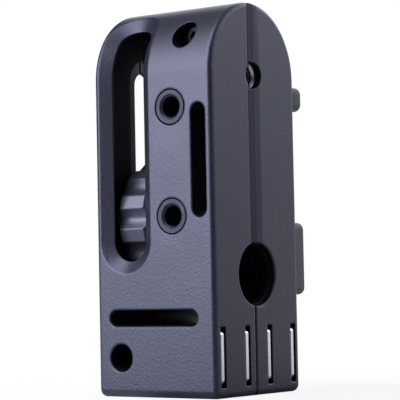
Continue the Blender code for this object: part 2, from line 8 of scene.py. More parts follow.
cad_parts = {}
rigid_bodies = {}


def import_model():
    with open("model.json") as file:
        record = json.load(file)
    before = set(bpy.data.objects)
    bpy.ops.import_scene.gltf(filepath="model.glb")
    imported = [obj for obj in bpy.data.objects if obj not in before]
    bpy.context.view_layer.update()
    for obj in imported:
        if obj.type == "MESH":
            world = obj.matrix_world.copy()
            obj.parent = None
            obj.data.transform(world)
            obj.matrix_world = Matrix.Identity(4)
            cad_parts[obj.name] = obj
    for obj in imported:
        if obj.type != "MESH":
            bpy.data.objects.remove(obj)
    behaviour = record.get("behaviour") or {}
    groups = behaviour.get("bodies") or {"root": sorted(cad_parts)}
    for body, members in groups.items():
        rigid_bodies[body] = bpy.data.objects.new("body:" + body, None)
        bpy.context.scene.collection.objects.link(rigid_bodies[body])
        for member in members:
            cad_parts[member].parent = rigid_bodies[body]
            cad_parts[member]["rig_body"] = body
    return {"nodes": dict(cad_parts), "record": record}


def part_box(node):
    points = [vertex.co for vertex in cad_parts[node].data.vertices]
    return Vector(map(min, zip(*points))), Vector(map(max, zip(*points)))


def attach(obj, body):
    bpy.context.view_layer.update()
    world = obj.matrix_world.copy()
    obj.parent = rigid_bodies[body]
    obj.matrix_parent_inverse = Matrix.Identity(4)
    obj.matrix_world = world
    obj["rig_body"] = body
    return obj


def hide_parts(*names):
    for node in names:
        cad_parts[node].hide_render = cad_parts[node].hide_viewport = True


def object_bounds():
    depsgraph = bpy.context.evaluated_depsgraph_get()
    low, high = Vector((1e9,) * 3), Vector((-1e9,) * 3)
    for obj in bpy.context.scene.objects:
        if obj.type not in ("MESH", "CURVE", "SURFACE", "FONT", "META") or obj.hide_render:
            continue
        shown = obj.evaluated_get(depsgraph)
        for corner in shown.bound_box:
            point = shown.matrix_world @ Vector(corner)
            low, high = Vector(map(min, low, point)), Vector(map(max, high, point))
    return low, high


for old in list(bpy.data.objects):
    bpy.data.objects.remove(old, do_unlink=True)

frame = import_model()
cadLow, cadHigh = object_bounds()
scene = bpy.context.scene
scene.view_settings.view_transform = "Standard"
mm = 0.001

frontLow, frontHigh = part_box("front_shell")
rearLow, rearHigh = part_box("rear_shell")
blockMiddle = Vector(((frontLow.x + frontHigh.x) / 2, (frontLow.y + rearHigh.y) / 2, frontLow.z))
rightFace = frontHigh.x
archRadius = (rearHigh.y - frontLow.y) / 2
archMiddle = Vector((blockMiddle.x, blockMiddle.y, cadHigh.z - archRadius))
slotOf = {part["node"]: part["material_slot"] for part in frame["record"]["subparts"]}
print("frame loaded:", len(frame["nodes"]), "nodes")


# Node helpers

def fill(tree, node, inputs):
    for name, value in inputs.items():
        if isinstance(value, bpy.types.NodeSocket):
            tree.links.new(value, node.inputs[name])
        else:
            node.inputs[name].default_value = value


def put(tree, kind, inputs=None, **settings):
    node = tree.nodes.new(kind)
    for name, value in settings.items():
        setattr(node, name, value)
    fill(tree, node, inputs or {})
    return node


def calc(tree, operation, first, second=0.0):
    return put(tree, "ShaderNodeMath", {0: first, 1: second}, operation=operation).outputs[0]


def ramp(tree, value, fromLow, fromHigh, toLow=0.0, toHigh=1.0, smooth=False):
    ends = {"Value": value, "From Min": fromLow, "From Max": fromHigh, "To Min": toLow, "To Max": toHigh}
    blendKind = "SMOOTHSTEP" if smooth else "LINEAR"
    return put(tree, "ShaderNodeMapRange", ends, interpolation_type=blendKind).outputs[0]


def facing(tree, way, target):
    return put(tree, "ShaderNodeVectorMath", {0: way, 1: target}, operation="DOT_PRODUCT").outputs["Value"]


def mixColours(tree, share, first, second):
    ends = [end if isinstance(end, bpy.types.NodeSocket) else (*end, 1.0) for end in (first, second)]
    return put(tree, "ShaderNodeMix", {0: share, 6: ends[0], 7: ends[1]}, data_type="RGBA").outputs[2]


def bump(tree, height, strength, depth, normal=None):
    inputs = {"Height": height, "Strength": strength, "Distance": depth}
    if normal:
        inputs["Normal"] = normal
    return put(tree, "ShaderNodeBump", inputs).outputs[0]


def newTree(name, kind, inputs, outputs):
    tree = bpy.data.node_groups.new(name, kind)
    for label, socketKind, value in inputs:
        socket = tree.interface.new_socket(label, in_out="INPUT", socket_type=socketKind)
        if value is not None:
            socket.default_value = value
    for label, socketKind in outputs:
        tree.interface.new_socket(label, in_out="OUTPUT", socket_type=socketKind)
    return tree, tree.nodes.new("NodeGroupInput"), tree.nodes.new("NodeGroupOutput")


def endTree(tree, geometry, material, result):
    real = put(tree, "GeometryNodeRealizeInstances", {0: geometry})
    painted = put(tree, "GeometryNodeSetMaterial", {"Geometry": real.outputs[0], "Material": material})
    tree.links.new(painted.outputs[0], result.inputs["Geometry"])
    return tree


# Effects that several finishes share

def mouldGrainGroup():
    # Spark-eroded texture of a moulded face, and slow clouds in its gloss.
    tree, given, result = newTree(
        "mouldGrain", "ShaderNodeTree",
        [("Grain Scale", "NodeSocketFloat", 3000.0), ("Cloud Scale", "NodeSocketFloat", 60.0)],
        [("Height", "NodeSocketFloat"), ("Fleck", "NodeSocketFloat"), ("Cloud", "NodeSocketFloat")],
    )
    pitShare = 0.5
    place = put(tree, "ShaderNodeTexCoord").outputs["Object"]
    pits = put(tree, "ShaderNodeTexVoronoi", {"Vector": place, "Scale": given.outputs["Grain Scale"]})
    fine = put(tree, "ShaderNodeTexNoise",
               {"Vector": place, "Scale": given.outputs["Grain Scale"], "Detail": 3.0, "Roughness": 0.6})
    cloud = put(tree, "ShaderNodeTexNoise",
                {"Vector": place, "Scale": given.outputs["Cloud Scale"], "Detail": 2.0, "Roughness": 0.5})
    pitHeight = calc(tree, "MULTIPLY", pits.outputs["Distance"], pitShare)
    fill(tree, result, {
        "Height": calc(tree, "ADD", pitHeight, fine.outputs[0]),
        "Fleck": ramp(tree, fine.outputs[0], 0.38, 0.68),
        "Cloud": ramp(tree, cloud.outputs[0], 0.3, 0.7),
    })
    return tree


def edgeRubGroup():
    # Mask of the edges, where fingers and straps polish them and a painted highlight lightens the colour, and
    # the softened normal there.
    tree, given, result = newTree(
        "edgeSheen", "ShaderNodeTree",
        [("Reach", "NodeSocketFloat", 0.6 * mm)],
        [("Rub", "NodeSocketFloat"), ("Normal", "NodeSocketVector")],
    )
    rounded = put(tree, "ShaderNodeBevel", {"Radius": given.outputs["Reach"]}, samples=6).outputs["Normal"]
    plain = put(tree, "ShaderNodeNewGeometry").outputs["Normal"]
    fill(tree, result, {"Rub": ramp(tree, facing(tree, rounded, plain), 0.99, 0.80), "Normal": rounded})
    return tree


def steelBrushGroup():
    # Fine parallel scratches from grinding or rolling, along the length given by the stretch.
    tree, given, result = newTree(
        "steelBrush", "ShaderNodeTree",
        [("Stretch", "NodeSocketVector", (4000.0, 4000.0, 120.0))],
        [("Height", "NodeSocketFloat"), ("Shade", "NodeSocketFloat")],
    )
    place = put(tree, "ShaderNodeTexCoord").outputs["Object"]
    drawn = put(tree, "ShaderNodeVectorMath", {0: place, 1: given.outputs["Stretch"]}, operation="MULTIPLY")
    lines = put(tree, "ShaderNodeTexNoise", {"Vector": drawn.outputs[0], "Scale": 1.0, "Detail": 3.0})
    patches = put(tree, "ShaderNodeTexNoise", {"Vector": place, "Scale": 400.0, "Detail": 2.0})
    shade = calc(tree, "MULTIPLY", lines.outputs[0], patches.outputs[0])
    fill(tree, result, {"Height": lines.outputs[0], "Shade": ramp(tree, shade, 0.12, 0.42)})
    return tree


mouldGrain = mouldGrainGroup()
edgeSheen = edgeRubGroup()
steelBrush = steelBrushGroup()


# Finishes, one for each slot of the record

def newFinish(name):
    material = bpy.data.materials.new(name)
    material.use_nodes = True
    return material, material.node_tree, material.node_tree.nodes["Principled BSDF"]


housing = {
    "dark": (0.0113, 0.0125, 0.0202),
    "light": (0.0188, 0.0203, 0.0315),
    # painted highlight: the lighter colour along the edges, and how much of it
    "paintedSheen": (0.0240, 0.0256, 0.0380),
    "sheenShare": 0.35,
    "rubPolish": 0.06,
    "glossTint": (0.69, 0.70, 0.94),
    "specular": 0.66,
    "rough": (0.26, 0.34),
    "grainScale": 1700.0,
    "grainDepth": 0.04 * mm,
    "grainStrength": 0.80,
}


def mouldedPlastic(name, look):
    material, tree, shader = newFinish(name)
    grain = put(tree, "ShaderNodeGroup", {"Grain Scale": look["grainScale"]}, node_tree=mouldGrain).outputs
    sheenAndPolish = put(tree, "ShaderNodeGroup", node_tree=edgeSheen).outputs
    body = mixColours(tree, grain["Fleck"], look["dark"], look["light"])
    rough = ramp(tree, grain["Cloud"], 0.0, 1.0, *look["rough"])
    # Painted highlight: the colour turns lighter along the edges.
    sheenAmount = calc(tree, "MULTIPLY", sheenAndPolish["Rub"], look["sheenShare"])
    fill(tree, shader, {
        "Base Color": mixColours(tree, sheenAmount, body, look["paintedSheen"]),
        "Roughness": calc(tree, "SUBTRACT", rough, calc(tree, "MULTIPLY", sheenAndPolish["Rub"], look["rubPolish"])),
        "Normal": bump(tree, grain["Height"], look["grainStrength"], look["grainDepth"], sheenAndPolish["Normal"]),
        "Specular IOR Level": look["specular"],
        "Specular Tint": (*look["glossTint"], 1.0),
    })
    return material


# Painted shade for walls deep in the slots and bores: a darker colour than the housing, matt and dull.
shadedInnerLook = dict(
    housing,
    dark=(0.0060, 0.0064, 0.0090),
    light=(0.0080, 0.0085, 0.0120),
    paintedSheen=(0.0120, 0.0125, 0.0160),
    rough=(0.60, 0.70),
    specular=0.12,
)

# Thread crests in the bore keep that painted shade in their colour, with a sharper gloss.
shadedCrestLook = dict(shadedInnerLook, rough=(0.16, 0.22), specular=0.18)

wheelLook = dict(
    housing,
    dark=(0.025, 0.026, 0.036),
    light=(0.031, 0.032, 0.044),
    rough=(0.32, 0.39),
    specular=1.0,
    grainStrength=0.10,
)

keeperLook = dict(
    housing,
    dark=(0.066, 0.067, 0.075),
    light=(0.078, 0.079, 0.088),
    rough=(0.50, 0.60),
    specular=0.45,
)

metals = {
    "black_steel": {
        "dark": (0.012, 0.013, 0.019), "light": (0.020, 0.021, 0.030), "metallic": 0.0, "rough": (0.34, 0.44),
        "stretch": (900.0, 2500.0, 900.0), "glossTint": (0.67, 0.70, 1.0), "specular": 0.42,
    },
    "bright_steel": {
        "dark": (0.84, 0.84, 0.85), "light": (0.96, 0.96, 0.97), "metallic": 1.0, "rough": (0.22, 0.34),
        "stretch": (3500.0, 3500.0, 150.0),
    },
    "plated_steel": {
        "dark": (0.48, 0.48, 0.50), "light": (0.66, 0.66, 0.68), "metallic": 1.0, "rough": (0.24, 0.38),
        "stretch": (1500.0, 1500.0, 1500.0),
    },
    "magnet_nickel": {
        "dark": (0.56, 0.55, 0.53), "light": (0.68, 0.67, 0.65), "metallic": 1.0, "rough": (0.14, 0.22),
        "stretch": (600.0, 600.0, 600.0),
    },
}
insertLook = dict(metals["plated_steel"], dark=(0.50, 0.51, 0.54), light=(0.64, 0.65, 0.68))
# Painted shade for the screws deep in their holes: black steel with its gloss turned down.
shadedScrewLook = dict(metals["black_steel"], specular=0.15)
scratches = {"strength": 0.15, "depth": 0.01 * mm}


def metalFinish(name, look):
    material, tree, shader = newFinish(name)
    brush = put(tree, "ShaderNodeGroup", {"Stretch": look["stretch"]}, node_tree=steelBrush).outputs
    smooth, coarse = look["rough"]
    fill(tree, shader, {
        "Base Color": mixColours(tree, brush["Shade"], look["dark"], look["light"]),
        "Roughness": ramp(tree, brush["Shade"], 0.0, 1.0, coarse, smooth),
        "Normal": bump(tree, brush["Height"], scratches["strength"], scratches["depth"]),
        "Metallic": look["metallic"],
        "Specular IOR Level": look.get("specular", 0.5),
        "Specular Tint": (*look.get("glossTint", (1.0, 1.0, 1.0)), 1.0),
    })
    return material


shadedWalls = mouldedPlastic("shadedWalls", shadedInnerLook)
shadedCrests = mouldedPlastic("shadedCrests", shadedCrestLook)
finishes = {
    "housing_plastic": mouldedPlastic("housingPlastic", housing),
    "wheel_plastic": mouldedPlastic("wheelPlastic", wheelLook),
    "keeper_rubber": mouldedPlastic("keeperRubber", keeperLook),
}
for slotName, look in metals.items():
    finishes[slotName] = metalFinish(slotName, look)
dullInsert = metalFinish("dullInsert", insertLook)
shadedScrew = metalFinish("shadedScrew", shadedScrewLook)
print("finishes made:", ", ".join(finishes))


# Mesh helpers

def newPiece(name, mesh, slotName):
    piece = bpy.data.objects.new(name, mesh)
    scene.collection.objects.link(piece)
    mesh.materials.clear()
    mesh.materials.append(finishes[slotName])
    return piece


def bake(piece):
    # Turns a piece with its modifiers into a plain mesh.
    bpy.context.view_layer.update()
    made = bpy.data.meshes.new_from_object(piece.evaluated_get(bpy.context.evaluated_depsgraph_get()))
    piece.modifiers.clear()
    piece.data = made
    return piece


def boolean(piece, other, operation):
    modifier = piece.modifiers.new(operation, "BOOLEAN")
    modifier.operation = operation
    modifier.solver = "EXACT"
    modifier.object = other
    bake(piece)
    bpy.data.objects.remove(other, do_unlink=True)


joinDistance = 0.002 * mm
flatAngle = 0.3


def weld(piece):
    # CAD meshes are loose triangles: joined, with flat faces made whole.
    bm = bmesh.new()
    bm.from_mesh(piece.data)
    bmesh.ops.remove_doubles(bm, verts=bm.verts, dist=joinDistance)
    bmesh.ops.dissolve_limit(bm, angle_limit=math.radians(flatAngle), verts=bm.verts, edges=bm.edges)
    bm.to_mesh(piece.data)
    bm.free()


def faceOutwards(piece):
    bm = bmesh.new()
    bm.from_mesh(piece.data)
    bmesh.ops.recalc_face_normals(bm, faces=bm.faces)
    bm.to_mesh(piece.data)
    bm.free()


def softenEdges(piece, width, angle=35):
    modifier = piece.modifiers.new("edges", "BEVEL")
    modifier.width = width
    modifier.segments = 2
    modifier.limit_method = "ANGLE"
    modifier.angle_limit = math.radians(angle)
    modifier.use_clamp_overlap = True
    bake(piece)


def spokeTo(point):
    # From the axis of the arch straight out to a point.
    return Vector((0, point.y - archMiddle.y, point.z - archMiddle.z))


def smoothFans(vert):
    # Faces round a corner, in groups that meet along smooth edges.
    waiting = set(vert.link_faces)
    while waiting:
        fan, queue = [], [waiting.pop()]
        while queue:
            face = queue.pop()
            fan.append(face)
            for edge in face.edges:
                if edge.smooth and vert in edge.verts:
                    near = [other for other in edge.link_faces if other in waiting]
                    waiting.difference_update(near)
                    queue.extend(near)
        yield fan


shading = {
    "flatArea": 12 * mm * mm,
    "archSlack": 0.04 * mm,
    "archFoot": -0.01 * mm,
    "archAngle": 8,
}


def shade(piece, angle=32, arched=False):
    # Smooth corners within the angle: a large flat face keeps its own normal, and the arch its true round.
    bm = bmesh.new()
    bm.from_mesh(piece.data)
    for edge in bm.edges:
        edge.smooth = edge.calc_face_angle(math.pi) < math.radians(angle)
    for face in bm.faces:
        face.smooth = True
    areas = {face: face.calc_area() for face in bm.faces}
    normals = {}
    for vert in bm.verts:
        spoke = spokeTo(vert.co)
        nearArch = abs(spoke.length - archRadius) < shading["archSlack"]
        onArch = arched and nearArch and spoke.z > shading["archFoot"]
        for fan in smoothFans(vert):
            flats = [face for face in fan if areas[face] > shading["flatArea"]] or fan
            shared = sum((face.normal * areas[face] for face in flats), Vector()).normalized()
            for face in fan:
                alongArch = onArch and face.normal.angle(spoke, 1) < math.radians(shading["archAngle"])
                normals[face.index, vert.index] = spoke.normalized() if alongArch else shared
    bm.to_mesh(piece.data)
    bm.free()
    mesh = piece.data
    mesh.normals_split_custom_set([normals[polygon.index, mesh.loops[i].vertex_index]
                                   for polygon in mesh.polygons for i in polygon.loop_indices])


def lofted(name, rings, slotName):
    # Joins rings of points into one closed shape.
    bm = bmesh.new()
    rings = [[bm.verts.new(point) for point in ring] for ring in rings]
    for near, far in zip(rings, rings[1:]):
        for i in range(len(near)):
            j = (i + 1) % len(near)
            bm.faces.new((near[i], near[j], far[j], far[i]))
    bm.faces.new(rings[0])
    bm.faces.new(rings[-1])
    bmesh.ops.recalc_face_normals(bm, faces=bm.faces)
    mesh = bpy.data.meshes.new(name)
    bm.to_mesh(mesh)
    bm.free()
    return newPiece(name, mesh, slotName)


def turned(name, profile, centre, axis, slotName, steps=64):
    # Turns (along, radius) points round an axis through the centre.
    rings = []
    for along, radius in profile:
        ring = []
        for i in range(steps):
            turn = 2 * math.pi * i / steps
            a, b = radius * math.cos(turn), radius * math.sin(turn)
            ring.append(centre + (Vector((along, a, b)) if axis == "x" else Vector((a, along, b))))
        rings.append(ring)
    return lofted(name, rings, slotName)


def runTree(tree, name, slotName, values):
    piece = newPiece(name, bpy.data.meshes.new(name), slotName)
    modifier = piece.modifiers.new(name, "NODES")
    modifier.node_group = tree
    for item in tree.interface.items_tree:
        if item.item_type == "SOCKET" and item.in_out == "INPUT":
            modifier[item.identifier] = values.get(item.name, finishes[slotName])
    return bake(piece)


def seat(piece, place):
    # Puts a finished shape where it belongs, with its place in its mesh and its faces outwards.
    piece.data.transform(place)
    faceOutwards(piece)


def ownNode(piece, node):
    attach(piece, frame["nodes"][node]["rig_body"])
    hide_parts(node)


def copyNode(node, name):
    piece = newPiece(name, frame["nodes"][node].data.copy(), slotOf[node])
    weld(piece)
    return piece


# Threads: one ridge along a spiral, its foot sunk a little into the wall

ridge = {
    "sink": 0.05 * mm,
    "footShare": 0.86,  # of the pitch
    "crestShare": 0.22,
    "cornerShare": 0.45,  # of the crest's width
    "pointsPerTurn": 48,
    "runOut": 0.35,  # turns over which each end fades
    "thinEnd": 0.05,
}


def threadTree():
    tree, given, result = newTree(
        "threadRidge", "GeometryNodeTree",
        [
            ("Pitch", "NodeSocketFloat", 1.27 * mm),
            ("Turns", "NodeSocketFloat", 5.0),
            ("Wall Radius", "NodeSocketFloat", 3.2 * mm),
            ("Foot", "NodeSocketFloat", 0.05 * mm),
            ("Crest", "NodeSocketFloat", -0.5 * mm),
            ("Foot Width", "NodeSocketFloat", 1.1 * mm),
            ("Crest Width", "NodeSocketFloat", 0.3 * mm),
            ("Points per Turn", "NodeSocketInt", 48),
            ("Run Out", "NodeSocketFloat", 0.4),
            ("Material", "NodeSocketMaterial", None),
        ],
        [("Geometry", "NodeSocketGeometry")],
    )
    size = given.outputs
    spiral = put(tree, "GeometryNodeCurveSpiral", {
        "Resolution": size["Points per Turn"], "Rotations": size["Turns"],
        "Start Radius": size["Wall Radius"], "End Radius": size["Wall Radius"],
        "Height": calc(tree, "MULTIPLY", size["Pitch"], size["Turns"]),
    })
    upright = put(tree, "GeometryNodeSetCurveNormal", {"Curve": spiral.outputs[0]}, mode="Z_UP")
    section = put(tree, "GeometryNodeCurvePrimitiveQuadrilateral", mode="POINTS")
    corners = (("Foot", "Foot Width", -0.5), ("Foot", "Foot Width", 0.5),
               ("Crest", "Crest Width", 0.5), ("Crest", "Crest Width", -0.5))
    for number, (depth, width, half) in enumerate(corners, 1):
        across = calc(tree, "MULTIPLY", size[width], half)
        corner = put(tree, "ShaderNodeCombineXYZ", {0: size[depth], 1: across})
        tree.links.new(corner.outputs[0], section.inputs[f"Point {number}"])
    cornerRadius = calc(tree, "MULTIPLY", size["Crest Width"], ridge["cornerShare"])
    rounded = put(tree, "GeometryNodeFilletCurve", {
        "Curve": section.outputs[0], "Radius": cornerRadius, "Count": 3, "Limit Radius": True,
    }, mode="POLY")
    along = put(tree, "GeometryNodeSplineParameter").outputs["Factor"]
    nearEnd = calc(tree, "MINIMUM", along, calc(tree, "SUBTRACT", 1.0, along))
    rise = calc(tree, "DIVIDE", calc(tree, "MULTIPLY", nearEnd, size["Turns"]), size["Run Out"])
    rise = calc(tree, "MAXIMUM", calc(tree, "MINIMUM", rise, 1.0), ridge["thinEnd"])
    swept = put(tree, "GeometryNodeCurveToMesh", {
        "Curve": upright.outputs[0], "Profile Curve": rounded.outputs[0], "Scale": rise, "Fill Caps": True,
    })
    return endTree(tree, swept.outputs[0], size["Material"], result)


threadRidge = threadTree()
turnTo = {"x": Matrix.Rotation(math.radians(90), 4, "Y"), "y": Matrix.Rotation(math.radians(-90), 4, "X")}


def cutThread(name, slotName, sizes, length, axis, start):
    wall, crest, pitch = sizes["rootDiameter"] / 2, sizes["crestDiameter"] / 2, sizes["pitch"]
    piece = runTree(threadRidge, name, slotName, {
        "Pitch": pitch, "Turns": length / pitch, "Wall Radius": wall,
        "Foot": math.copysign(ridge["sink"], wall - crest), "Crest": crest - wall,
        "Foot Width": ridge["footShare"] * pitch, "Crest Width": ridge["crestShare"] * pitch,
        "Points per Turn": ridge["pointsPerTurn"], "Run Out": ridge["runOut"],
    })
    seat(piece, Matrix.Translation(start) @ turnTo[axis])
    return piece


# Housing halves, with the tripod thread moulded into both

bore = {
    "mouthDiameter": 16.0 * mm,
    "rootDiameter": 15.2 * mm,
    "crestDiameter": 14.2 * mm,
    "pitch": 2.309 * mm,
    "ringBack": 1.85 * mm,
    "depth": 16.0 * mm,
    "height": 30.6 * mm,
    "rootFloor": 0.6 * mm,  # above the bottom of the bore
    "threadFloor": 0.8 * mm,
}
boreMouth = Vector((rightFace, blockMiddle.y, bore["height"]))

seam = {"width": 1.6 * mm, "rimDepth": 0.55 * mm, "depth": 1.2 * mm, "overlap": 0.02 * mm}


def cutSeam(shell):
    # Above the bore the rear half falls away a little more steeply beside the parting line.
    depth, near, far = seam["depth"], -seam["overlap"], seam["width"]
    section = [(-depth, near), (-seam["rimDepth"], far), (depth, far), (depth, near)]
    rings = []
    for z in (bore["height"], cadHigh.z + depth):
        rings.append([(rightFace + x, rearLow.y + y, z) for x, y in section])
    boolean(shell, lofted("seamCut", rings, "housing_plastic"), "DIFFERENCE")


windowRim = {
    "middle": -6.35 * mm,
    "half": 5.0 * mm,
    "low": 33.0 * mm,
    "depth": 2.3 * mm,
    "slack": 0.02 * mm,
    "shift": 0.28 * mm,
    "lift": 0.52 * mm,
    "fade": 20.0 * mm,
}


def easeRim(shell):
    # The left side of the finger window's sloping rim runs a little flatter than the rest.
    for vert in shell.data.vertices:
        spoke = spokeTo(vert.co)
        spoke.z = max(spoke.z, 0)
        atDepth = abs(archRadius - spoke.length - windowRim["depth"]) < windowRim["slack"]
        if atDepth and vert.co.z > windowRim["low"]:
            share = min(max((windowRim["middle"] - vert.co.x) / windowRim["half"], 0), 1) ** 2
            share *= max(1 - spoke.z / windowRim["fade"], 0)
            vert.co += share * (windowRim["lift"] * spoke.normalized() + Vector((windowRim["shift"], 0, 0)))


shadeReach = {"mouthDepth": 0.5 * mm, "wallDepth": 2.5 * mm, "steepness": 0.35}


def markInside(shell):
    # Painted shade: walls along a slot, the whole bore behind its mouth, and whatever lies deeper than the
    # outer wall take the darker material.
    shell.data.materials.append(shadedWalls)
    for polygon in shell.data.polygons:
        aside = polygon.center.x - blockMiddle.x
        spoke = spokeTo(polygon.center)
        spoke.z = max(spoke.z, 0)
        sides = (
            (rightFace - blockMiddle.x - abs(aside), Vector((math.copysign(1, aside), 0, 0))),
            (archRadius - spoke.length, spoke.normalized()),
        )
        depth, outward = min(sides, key=lambda side: side[0])
        alongSlot = abs(polygon.normal.dot(outward)) < shadeReach["steepness"]
        fromBore = polygon.center - boreMouth
        inBore = math.hypot(fromBore.y, fromBore.z) < bore["mouthDiameter"] / 2
        inShade = depth > shadeReach["mouthDepth"] and (alongSlot or inBore)
        polygon.material_index = int(inShade or depth > shadeReach["wallDepth"])


def buildHousing():
    rootRadius = bore["rootDiameter"] / 2
    rootEnds = [(bore["rootFloor"] - bore["depth"], rootRadius), (-bore["ringBack"], rootRadius)]
    for node, name in (("front_shell", "frontShell"), ("rear_shell", "rearShell")):
        shell = copyNode(node, name)
        boolean(shell, turned("boreRoot", rootEnds, boreMouth, "x", slotOf[node]), "DIFFERENCE")
        if node == "rear_shell":
            cutSeam(shell)
        weld(shell)
        easeRim(shell)
        shade(shell, arched=True)
        markInside(shell)
        ownNode(shell, node)
    start = boreMouth - Vector((bore["depth"] - bore["threadFloor"], 0, 0))
    length = bore["depth"] - bore["ringBack"] - bore["rootFloor"]
    thread = cutThread("boreThread", "housing_plastic", bore, length, "x", start)
    low, high = bore["height"] - bore["rootDiameter"], bore["height"] + bore["rootDiameter"]
    gap = [(frontHigh.y, low), (rearLow.y, low), (rearLow.y, high), (frontHigh.y, high)]
    ends = (rightFace - 2 * bore["rootDiameter"], rightFace + 2 * bore["rootDiameter"])
    split = lofted("seamGap", [[(x, y, z) for y, z in gap] for x in ends], "housing_plastic")
    boolean(thread, split, "DIFFERENCE")
    # The bore's thread takes the painted shade of the bore.
    thread.data.materials.clear()
    thread.data.materials.append(shadedCrests)
    shade(thread)
    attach(thread, "block")
    print("housing halves done")


# Threaded bushings in the front face and the insert in the right face

insertThread = {
    "rootDiameter": 6.1 * mm,
    "crestDiameter": 5.3 * mm,
    "pitch": 1.27 * mm,
    "insertLead": 0.6 * mm,
    "bushingLead": 0.8 * mm,
    "edge": 0.12 * mm,
}


def threadHole(node, name, axis, lead, finish=None):
    # The mouth is the high end along X and the low end along Y.
    low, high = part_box(node)
    middle = (low + high) / 2
    half = (high - low)["xy".index(axis)] / 2
    ends = (-half - lead, half - lead) if axis == "x" else (lead - half, half + lead)
    rootEnds = [(end, insertThread["rootDiameter"] / 2) for end in ends]
    piece = copyNode(node, name)
    boolean(piece, turned("threadRoot", rootEnds, middle, axis, slotOf[node]), "DIFFERENCE")
    weld(piece)
    softenEdges(piece, insertThread["edge"])
    shade(piece)
    ownNode(piece, node)
    start = middle + (Vector((-half, 0, 0)) if axis == "x" else Vector((0, lead - half, 0)))
    thread = cutThread(name + "Thread", slotOf[node], insertThread, 2 * half - lead, axis, start)
    shade(thread)
    if finish:
        for part in (piece, thread):
            part.data.materials[0] = finish
    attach(thread, "block")


def buildBushings():
    for level in ("upper", "lower"):
        threadHole("front_bushing_" + level, level + "Bushing", "y", insertThread["bushingLead"])
    threadHole("side_insert", "sideInsert", "x", insertThread["insertLead"], dullInsert)
    print("threaded bushings done")


# Thumbwheel: flat-topped teeth and scooped flutes between two cones

wheel = {
    "teeth": 11,
    "toothShare": 0.40,
    "fluteDepth": 1.6 * mm,
    "coneDrop": 2.2 * mm,
    "coneWidth": 1.8 * mm,
    "stepsPerTooth": 20,
    "boreDiameter": 6.95 * mm,
    "pocketFlats": 11.7 * mm,
    "pocketDepth": 4.3 * mm,
    "pocketOvercut": 1.0 * mm,
    "edge": 0.14 * mm,
    "edgeAngle": 20,
    "shadeAngle": 24,
}


